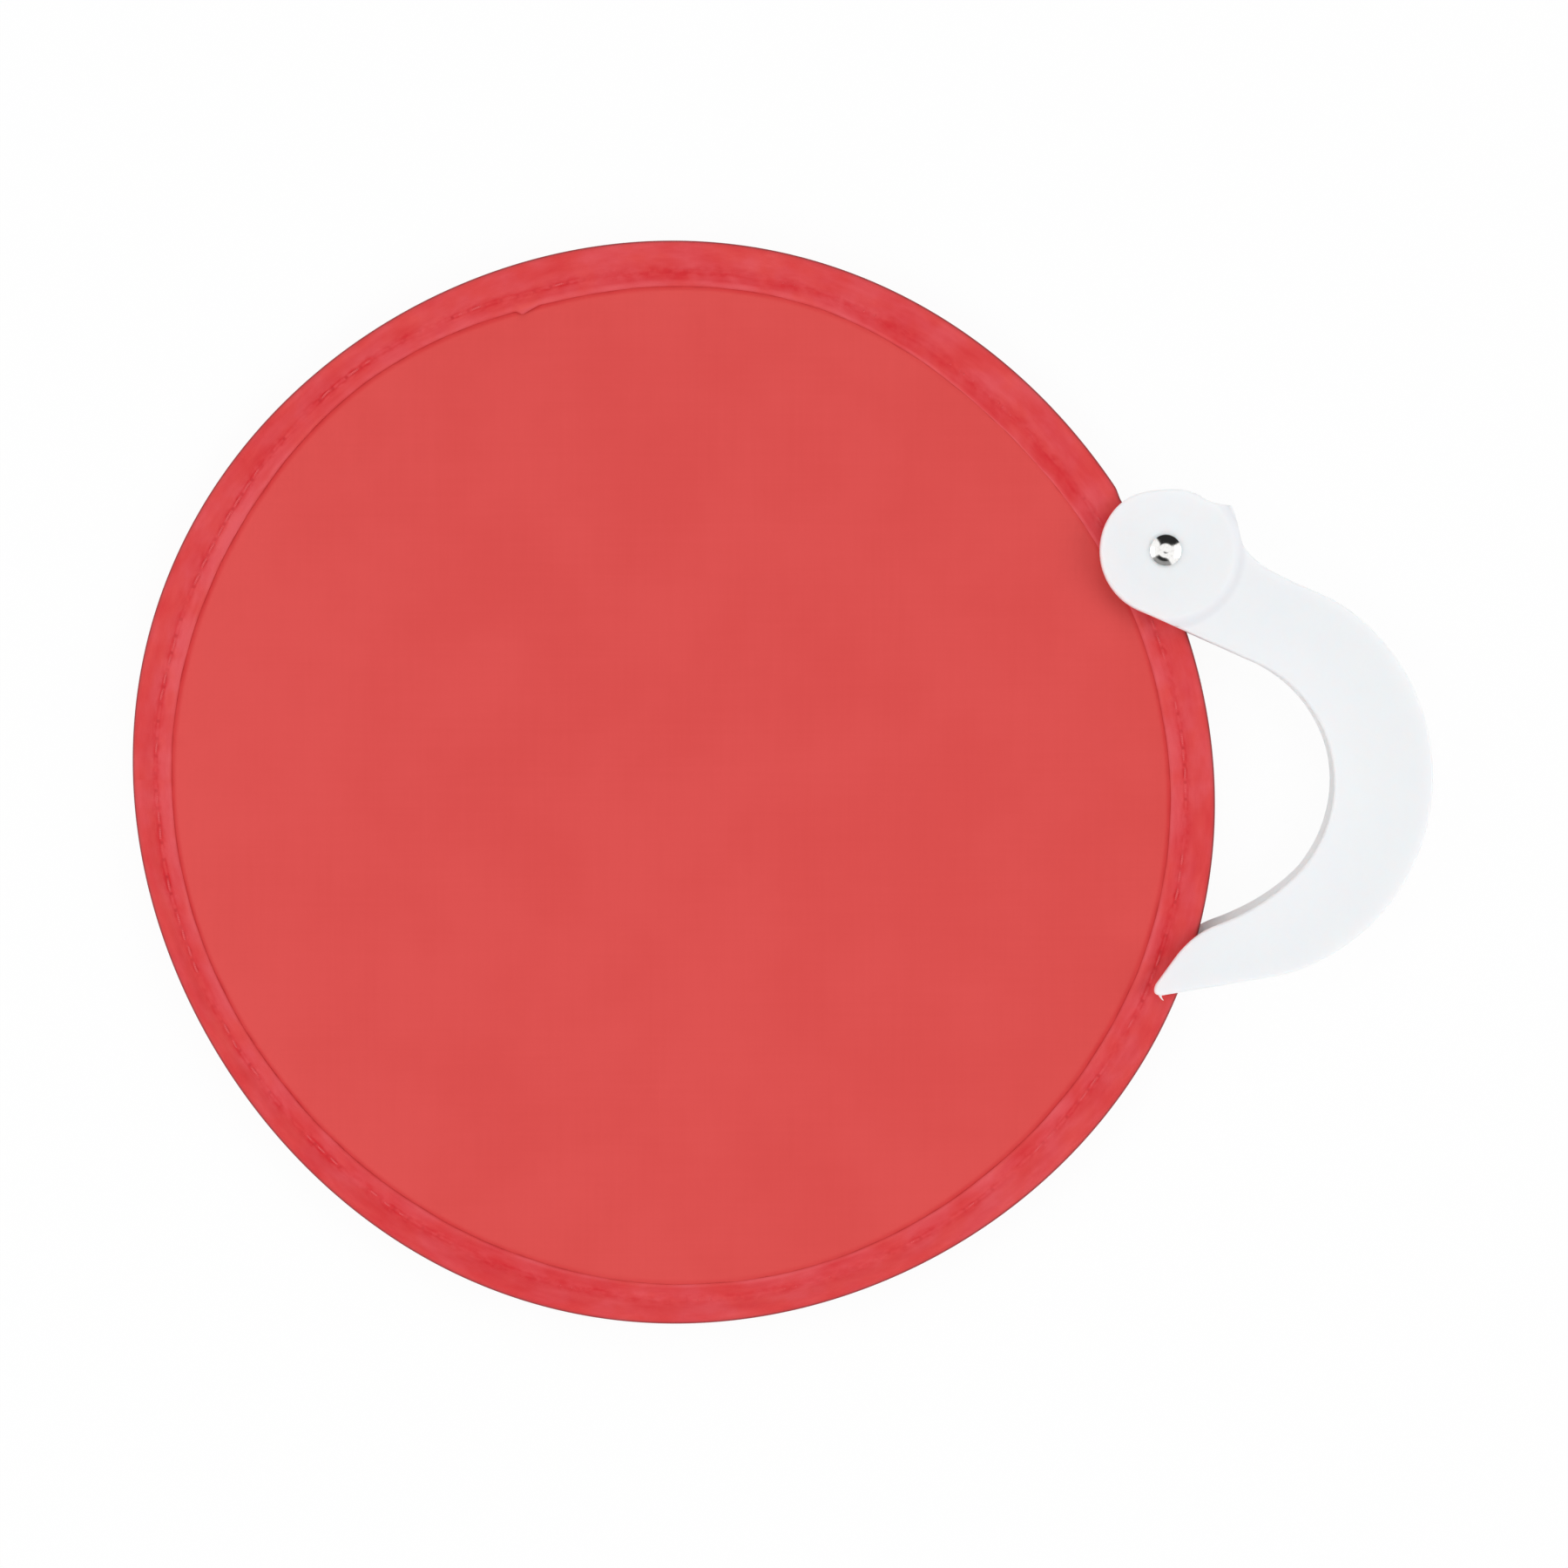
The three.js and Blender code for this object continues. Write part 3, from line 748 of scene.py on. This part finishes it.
def makeStitch():
    clearPick()
    bpy.ops.mesh.primitive_circle_add(
        vertices=stitch["sides"], radius=stitch["radius"], fill_type="NGON",
        location=(-stitch["length"] / 2, 0, 0), rotation=(0, math.pi / 2, 0))
    piece = bpy.context.object
    bpy.ops.object.transform_apply(location=True, rotation=True, scale=True)
    openMesh(piece, start="SELECT")
    stretch = stitch["length"] / stitch["parts"]
    for part in range(stitch["parts"]):
        bpy.ops.mesh.extrude_region_move(TRANSFORM_OT_translate={"value": (stretch, 0, 0)})
    closeMesh(piece)
    places = placesOf(piece)
    share = np.clip(places[:, 0] / stitch["length"] + 0.5, 0, 1)
    places[:, 2] += stitch["arch"] * np.sin(math.pi * share) ** stitch["archPower"]
    movePoints(piece, places)
    run = piece.data.uv_layers.new(name="run")
    for face in piece.data.polygons:
        facing = math.atan2(face.normal.z, face.normal.y)
        for loop in face.loop_indices:
            corner = places[piece.data.loops[loop].vertex_index]
            around = math.atan2(corner[2] - stitch["arch"] / 2, corner[1])
            around = facing + wrapped(around - facing)
            run.data[loop].uv = (corner[0] / stitch["length"] + 0.5, around / (2 * math.pi))
    return piece


def makeSeam(name, side, node, material):
    one = makeStitch()
    draw = random.Random(stitch["frontSeed"] if side > 0 else stitch["backSeed"])
    copies = []
    for number in range(hem["stitches"]):
        place = (number + (0.5 if side > 0 else 0.0)) / hem["stitches"] * 2 * math.pi
        angle = np.array([place])
        inset = hem["seam"] + hemWander(angle) + seamStray(angle)
        inset = inset + draw.uniform(-1, 1) * stitch["stray"]
        loose = stitch["loose"] * draw.random() ** 2
        sunk = stitch["height"] - stitch["sink"] * (1 - tightness(angle)) - loose
        at = Vector(fromRim(angle, inset, side * sunk)[0])
        slant = draw.uniform(-1, 1) * stitch["slant"]
        turn = Matrix.Rotation(place + math.pi / 2 + slant, 4, "Z")
        flip = Matrix.Rotation(0 if side > 0 else math.pi, 4, "X")
        copy = bpy.data.objects.new(f"{name}_{number}", one.data.copy())
        copy.data.transform(Matrix.Translation(at) @ turn @ flip)
        bpy.context.collection.objects.link(copy)
        copies.append(copy)
    bpy.data.objects.remove(one)
    clearPick()
    for copy in copies:
        copy.select_set(True)
    bpy.context.view_layer.objects.active = copies[0]
    bpy.ops.object.join()
    piece = bpy.context.object
    piece.name = name
    return finishPiece(piece, material, "fan", "seam_thread", node, smoothUnder=80)


# Handle: two leaves with a slot between them, in plan sizes from the rivet in millimetres
handle = {
    "hub": 15.05, "hubFlat": 1.0, "hubFlatAt": math.radians(95), "hubFlatSpread": math.radians(25),
    "arm": 4.6, "hubTop": 5.3, "slot": 3.0, "parting": 0.07, "edge": 0.65, "wall": 2.2,
    "edgeParts": 5, "past": 1.0, "hubClear": 15.6, "rimClear": 0.6,
    "bossRim": 15.3, "bossFoot": 17.8, "bossDeep": 0.5, "bossSink": 0.02, "bossSteps": 96,
    "softParts": 10, "recessRim": 9.9, "recess": 9.3, "recessDepth": 0.25,
    "bore": 1.8, "boreApart": 5, "tail": 4.6, "tailApart": 4, "tailDepth": 1.5,
    "grip": {"at": (16.2, -52.1), "size": (45.6, 47.0), "from": -80, "to": 60},
    "fingers": {"at": (8.7, -53.5), "size": (30.2, 30.2), "to": -40},
    "lip": {
        "fade": 3.0, "leastShare": 0.05, "backStep": 0.7, "stepEnds": (55, 85), "neckPoints": 10,
        "section": [
            (-1.0, -1.0), (1.5, -1.0), (1.5, 0.01), (0.9, 0.3), (0.4, 0.65), (0, 0.93), (-1.0, 1.55),
        ],
        "backEnd": [(0, 4.0), (-1.0, 4.0)],
    },
    "frontToe": [[(24.3, -81.6), (12.3, -86.1)], [(6.0, -88.4), (2.2, -94.1)]],
    "backToe": [[(24.0, -81.0), (11.9, -85.2)], [(5.3, -87.7), (1.8, -93.9)]],
    "toeEnd": [[(-2.1, -100.0)], [(-3.3, -102.9), (-0.4, -102.5)]],
    "nubFrom": 52.9,
    "nub": [
        [(29.5, -6.9), (20.0, -4.0), (17.5, 2.4)], [(15.8, 9.7)],
        [(15.6, 10.4), (14.8, 10.45)], [(11.6, 10.6), None],  # and back to where the hub begins
    ],
}


def inMetres(points):
    return [(first * mm, second * mm) for first, second in points]


def arc(at, size, start, end, degreesApart=2.0):
    count = max(2, round(abs(end - start) / degreesApart))
    turns = [math.radians(start + (end - start) * i / count) for i in range(count + 1)]
    return [(at[0] + size[0] * math.cos(turn), at[1] + size[1] * math.sin(turn)) for turn in turns]


# Whole ring about the rivet, in metres
def ring(radius, degreesApart=2.0):
    return inMetres(arc((0, 0), (radius, radius), 0, 360 - degreesApart, degreesApart))


# Line or curve from the end of a path to the last of some guide points
def curveOn(path, guides, count=12):
    points = [np.array(path[-1]), *map(np.array, guides)]
    order = len(points) - 1
    count = count if order > 1 else 1
    for i in range(1, count + 1):
        share = i / count
        place = sum(
            math.comb(order, k) * (1 - share) ** (order - k) * share ** k * point
            for k, point in enumerate(points))
        path.append((float(place[0]), float(place[1])))


# Turn, in degrees, at which the edge of the finger opening leaves the hub
def hubLeaves():
    fingers = handle["fingers"]
    apart = math.hypot(*fingers["at"])
    lean = math.acos((handle["hub"] + fingers["size"][0]) / apart)
    return math.degrees(math.atan2(fingers["at"][1], fingers["at"][0]) - lean)


# Upper edge of the toe: the back leaf reaches a little further into the finger opening
def toeSide(face):
    return handle["frontToe"] if face > 0 else handle["backToe"]


# Plan of a leaf: round the hub, along the finger opening, round the toe and up the grip to the nub
def leafOutline(face):
    hub, fingers, grip = handle["hub"], handle["fingers"], handle["grip"]
    leave = hubLeaves()
    path = arc((0, 0), (hub, hub), handle["nubFrom"], leave + 360)
    for i, (x, y) in enumerate(path):  # the hub is a little flat on top
        flat = bell(math.atan2(y, x), handle["hubFlatAt"], handle["hubFlatSpread"])
        flat *= handle["hubFlat"] / hub
        path[i] = (x * (1 - flat), y * (1 - flat))
    start = path[0]
    path += arc(fingers["at"], fingers["size"], leave + 180, fingers["to"])
    for guides in toeSide(face) + handle["toeEnd"]:
        curveOn(path, guides)
    path += arc(grip["at"], grip["size"], grip["from"], grip["to"])
    for guides in handle["nub"]:
        curveOn(path, [start if guide is None else guide for guide in guides])
    path.pop()
    return inMetres(path)


# Block of a leaf's plan from the parting plane out to a height, its outer edge rounded over
def roundedLeaf(face, top):
    low, high = face * handle["parting"] * mm, face * top * mm
    piece = pulledUp("leaf", leafOutline(face), low, high, rivetAt)
    openMesh(piece, "EDGE")
    selectEdges(piece, lambda corner: abs(corner.z - high) < meeting)
    bpy.ops.mesh.bevel(
        offset=handle["edge"] * mm, segments=handle["edgeParts"], profile=0.5, affect="EDGES",
        clamp_overlap=False)
    return closeMesh(piece)


# Raised hub that runs out to the arm in a soft step, with a shallow round recess
def hubBoss(face):
    low, top = handle["parting"] + handle["bossDeep"], handle["hubTop"]
    edge = handle["arm"] - handle["bossSink"]
    middle = handle["bore"] / 2  # less than the bore, which is cut last
    profile = [(middle, low), (handle["recess"], low)]
    for i in range(handle["softParts"] + 1):
        share = i / handle["softParts"]
        rise = (1 - math.cos(math.pi * share)) / 2
        radius = handle["bossFoot"] + (handle["bossRim"] - handle["bossFoot"]) * share
        profile.append((radius, edge + (top - edge) * rise))
    floor = top - (handle["recessDepth"] if face > 0 else 0)
    profile += [(handle["recessRim"], top), (handle["recess"], floor), (middle, floor)]
    points = inMetres((radius, face * height) for radius, height in profile)
    return turned("boss", points, handle["bossSteps"], rivetAt)


# Hooked spur under the toe of the front leaf: a drawn-out point that bends aside
spur = {
    "root": (-1.2, -102.1, 3.7), "radius": 0.55, "sides": 10,
    "reach": 1.6, "parts": 5, "aside": 0.8, "taper": 0.76,
}


def makeSpur():
    clearPick()
    root = rivetAt + Vector(spur["root"]) * mm
    bpy.ops.mesh.primitive_circle_add(
        vertices=spur["sides"], radius=spur["radius"] * mm, fill_type="NGON", location=root,
        rotation=(math.pi / 2, 0, 0))
    piece = bpy.context.object
    bpy.ops.object.transform_apply(location=False, rotation=True, scale=True)
    openMesh(piece, start="SELECT")
    parts = spur["parts"]
    for part in range(parts):
        aside = spur["aside"] * 2 * (part + 0.5) / parts ** 2
        move = (aside * mm, -spur["reach"] / parts * mm, 0)
        bpy.ops.mesh.extrude_region_move(TRANSFORM_OT_translate={"value": move})
        bpy.ops.transform.resize(value=(spur["taper"],) * 3)
    return closeMesh(piece)


# Edge of the finger opening, from the hub to the toe
def mouthPath(face):
    hub, fingers = handle["hub"], handle["fingers"]
    leave = hubLeaves()
    first = arc((0, 0), (hub, hub), leave, leave)[0]
    opening = arc(fingers["at"], fingers["size"], leave + 180, fingers["to"])
    neck = np.linspace(first, opening[0], handle["lip"]["neckPoints"])
    path = [tuple(place) for place in neck[:-1]] + opening
    for guides in toeSide(face):
        curveOn(path, guides)
    return np.array(path)


# Bar that slopes off the mouth of the slot along the finger opening, fading out at both ends
def lipCutter(face):
    lip, slot = handle["lip"], handle["slot"]
    path = mouthPath(face)
    run = np.gradient(path, axis=0)
    run /= np.hypot(run[:, 0], run[:, 1])[:, None]
    gone = np.concatenate([[0], np.cumsum(np.hypot(*np.diff(path, axis=0).T))])
    share = np.clip(np.minimum(gone, gone[-1] - gone) / lip["fade"], lip["leastShare"], 1)
    section = lip["section"]
    setBack = np.zeros_like(gone)
    if face < 0:  # the back leaf stands back, less and less to the toe
        setBack = lip["backStep"] * (1 - step(gone, *lip["stepEnds"]))
        section = section[:-1] + lip["backEnd"]
    places = []
    for (x, y), (east, north), grown, back in zip(path, run, share, setBack):
        for inward, rise in section:
            inward = (inward + back) * grown if inward >= 0 else inward
            height = slot + (rise * grown if 0 < rise < 1 else rise)
            across, up = x - north * inward, y + east * inward
            places.append((across * mm, up * mm, face * height * mm))
    sides = len(section)
    faces = [tuple(range(sides)), tuple(range(len(places) - sides, len(places)))]
    for i in range(len(path) - 1):
        for j in range(sides):
            near, far = i * sides + j, i * sides + (j + 1) % sides
            faces.append((near, far, far + sides, near + sides))
    mesh = bpy.data.meshes.new("lip")
    mesh.from_pydata(places, [], faces)
    piece = bpy.data.objects.new("lip", mesh)
    piece.location = rivetAt
    bpy.context.collection.objects.link(piece)
    openMesh(piece)
    return closeMesh(piece)


def makeShell(name, face, node, material):
    grip = handle["grip"]
    low, high = sorted((-face * handle["past"] * mm, face * handle["slot"] * mm))
    piece = roundedLeaf(face, handle["arm"])
    hubBlock = carve(roundedLeaf(face, handle["hubTop"]), hubBoss(face), "INTERSECT")
    carve(piece, hubBlock, "UNION")
    turns = np.radians(np.arange(0, 360, 2.0))
    rimEdge = fromRim(turns, np.full_like(turns, -handle["rimClear"] * mm), turns * 0)
    rimSlot = [(x, y) for x, y, z in rimEdge - np.array(rivetAt)]
    gripSlot = arc(grip["at"], [size - handle["wall"] for size in grip["size"]], 0, 358)
    for outline in (inMetres(gripSlot), ring(handle["hubClear"]), rimSlot):
        carve(piece, pulledUp("slot", outline, low, high, rivetAt), "DIFFERENCE")
    carve(piece, lipCutter(face), "DIFFERENCE")
    reach = 2 * handle["hubTop"] * mm
    bore = ring(handle["bore"], handle["boreApart"])
    carve(piece, pulledUp("bore", bore, -reach, reach, rivetAt), "DIFFERENCE")
    if face < 0:
        top = (handle["tailDepth"] - handle["hubTop"]) * mm
        sink = ring(handle["tail"], handle["tailApart"])
        carve(piece, pulledUp("sink", sink, -reach, top, rivetAt), "DIFFERENCE")
    else:
        carve(piece, makeSpur(), "UNION")
    piece.name = name
    clearCrumbs(piece)
    finishPiece(piece, material, "handle", "milky_plastic", node)
    applyModifier(piece, "WEIGHTED_NORMAL", keep_sharp=True)


# Rivet: a domed head with a small dimple, a shank through the eye and a flat tail
rivet = {
    "head": 3.58, "headUnder": 0.1, "headFlat": 1.2, "headFoot": 5.06, "headTop": 6.25,
    "headLean": math.radians(36), "headParts": 14, "leastShare": 0.001,
    "dimple": 0.5, "dimpleEdge": 0.2, "dimpleDepth": 0.03, "dish": 0.02, "dishEdge": 0.3, "shank": 1.5,
    "tail": 4.0, "tailFoot": -5.0, "tailTop": -4.1, "tailEdge": 0.35, "tailArc": (-70, 0, 20),
    "sides": 72,
}


def makeRivet(material):
    head, flat, top, lean = (rivet[name] for name in ("head", "headFlat", "headTop", "headLean"))
    edge, foot, shank = rivet["tailEdge"], rivet["tailFoot"], rivet["shank"]
    profile = [(0, foot), (rivet["tail"] - edge, foot)]
    profile += arc((rivet["tail"] - edge, foot + edge), (edge, edge), *rivet["tailArc"])
    profile += [(rivet["tail"], rivet["tailTop"]), (shank, rivet["tailTop"])]
    profile += [(shank, rivet["headFoot"]), (head - rivet["headUnder"], rivet["headFoot"])]
    for i in range(rivet["headParts"], -1, -1):  # leans over more and more from the flat to the edge
        share = max(i / rivet["headParts"], rivet["leastShare"])
        drop = (head - flat) * -math.log(math.cos(lean * share)) / lean
        profile.append((flat + (head - flat) * share, top - drop))
    dish, dimple = top - rivet["dish"], rivet["dimple"]
    profile.append((flat - rivet["dishEdge"], top - rivet["dish"] / 2))
    profile += [(dimple + rivet["dimpleEdge"], dish), (dimple, dish - rivet["dimpleDepth"]), (0, dish)]
    piece = turned("rivet", inMetres(profile), rivet["sides"], rivetAt)
    finishPiece(piece, material, "handle", "plated_rivet", "pivot_rivet", smoothUnder=40)


# Studio

photo = {
    "lookAt": (0.58 * mm, -0.44 * mm), "distance": 725 * mm, "across": 363.5 * mm,
    "sensor": 36, "clip": 10 * mm,
}


def makeCamera():
    camera = bpy.data.cameras.new("camera")
    camera.sensor_width = photo["sensor"]
    camera.lens = photo["sensor"] * photo["distance"] / photo["across"]
    camera.clip_start = photo["clip"]
    seat = bpy.data.objects.new("camera", camera)
    seat.location = (*photo["lookAt"], discAt.z + photo["distance"])  # straight above, +Y up
    bpy.context.collection.objects.link(seat)
    bpy.context.scene.camera = seat


lamps = {
    "left": {"at": (-1.05, 0.0, 0.7), "size": 0.8, "power": 4.3, "mirrored": True},
    "right": {"at": (1.05, 0.0, 0.7), "size": 0.8, "power": 4.3, "mirrored": True},
    "front": {"at": (0.0, -1.05, 0.75), "size": 0.8, "power": 4.2, "mirrored": False},
    "back": {"at": (0.0, 1.05, 0.75), "size": 0.8, "power": 3.2, "mirrored": False},
}


def makeLamps():
    for name, lamp in lamps.items():
        light = bpy.data.lights.new(name, "AREA")
        light.size = lamp["size"]
        light.energy = lamp["power"]
        seat = bpy.data.objects.new("lamp_" + name, light)
        seat.location = lamp["at"]
        aim = Vector((0, 0, 0)) - Vector(lamp["at"])
        seat.rotation_euler = aim.to_track_quat("-Z", "Y").to_euler()
        seat.visible_camera = False
        seat.visible_glossy = lamp["mirrored"]  # bright metal shows two lamps and the room's dark ends
        bpy.context.collection.objects.link(seat)


studio = {
    "floorSize": 14.0, "floorGap": 0.1 * mm, "floorWhite": (0.92, 0.92, 0.92, 1), "plainShare": 0.94,
    "white": (1, 1, 1, 1), "sky": 0.50, "dark": 0.02, "dim": 0.3,
    "darkAt": math.radians(75), "darkSpread": 0.93, "darkEnds": (0.0, 0.1), "darkTop": (0.955, 0.985),
    "dimEnds": (0.0, 0.2), "dimTop": (0.72, 0.84),
}


def makeFloor():
    clearPick()
    under = (0, 0, cadBox[0].z - studio["floorGap"])
    bpy.ops.mesh.primitive_plane_add(size=studio["floorSize"], location=under)
    floor = bpy.context.object
    floor.name = "floor"
    material = bpy.data.materials.new("pale_floor")
    material.use_nodes = True
    tree = material.node_tree
    tree.nodes.remove(tree.nodes["Principled BSDF"])
    wire = Wire(tree)
    seen = wire.ray("Camera") + wire.ray("Glossy") + wire.ray("Transmission")
    lit = wire.node("ShaderNodeBsdfDiffuse", None, {"Color": studio["floorWhite"]})
    plain = wire.node("ShaderNodeEmission", None, {"Color": studio["white"], "Strength": 1.0})
    share = wire.maths("MINIMUM", seen, 1.0) * studio["plainShare"]
    mixed = wire.node("ShaderNodeMixShader", None, {0: share, 1: lit, 2: plain})
    tree.links.new(mixed.socket, tree.nodes["Material Output"].inputs["Surface"])
    floor.data.materials.append(material)


# White to the camera, an even glow, and for bright metal a white room, dark fore and aft
def makeSky():
    world = bpy.data.worlds.new("studio")
    bpy.context.scene.world = world
    world.use_nodes = True
    tree = world.node_tree
    wire = Wire(tree)
    camera, gloss, clear = (wire.ray(kind) for kind in ("Camera", "Glossy", "Transmission"))
    facing = wire.node("ShaderNodeTexCoord", out="Generated")
    ahead, beside = math.sin(studio["darkAt"]), math.cos(studio["darkAt"])
    fore = facing.part(1) * ahead + facing.part(0) * beside
    aside = facing.part(0) * ahead - facing.part(1) * beside
    walls = (fore.size() - aside.size() * studio["darkSpread"]).between(*studio["darkEnds"])
    walls = walls * (1 - facing.part(2).between(*studio["darkTop"]))
    near = (0 - fore).between(*studio["dimEnds"])
    near = near * (1 - facing.part(2).between(*studio["dimTop"]))
    room = 1 - walls * (1 - studio["dark"] - near * (studio["dim"] - studio["dark"]))
    shine = wire.maths("MINIMUM", gloss + clear, 1.0)
    level = camera + (1 - camera) * (shine * room + (1 - shine) * studio["sky"])
    sky = wire.node("ShaderNodeBackground", None, {"Color": studio["white"], "Strength": level})
    tree.links.new(sky.socket, tree.nodes["World Output"].inputs["Surface"])


makeCamera()
makeLamps()
makeFloor()
makeSky()
bpy.context.scene.view_settings.view_transform = "Standard"
print("studio set")

fanCloth = makeCloth()
rimTape = makeHem()
seamRed = threadFinish()
frontSeam = makeSeam("front_stitches", 1, "seam_thread_front", seamRed)
backSeam = makeSeam("back_stitches", -1, "seam_thread_back", seamRed)
milkyWhite = milkyFinish()
makeShell("front_shell", 1, "handle_front_shell", milkyWhite)
makeShell("back_shell", -1, "handle_back_shell", milkyWhite)
makeRivet(nickelFinish())
for node, material in (("hoop_band", springFinish()), ("hoop_connector", milkyWhite)):
    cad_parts[node].data.materials.clear()
    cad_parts[node].data.materials.append(material)

clothWidth = 2 * (rim["radius"] - cloth["tuck"])
math.pi * clothWidth ** 2 / 4
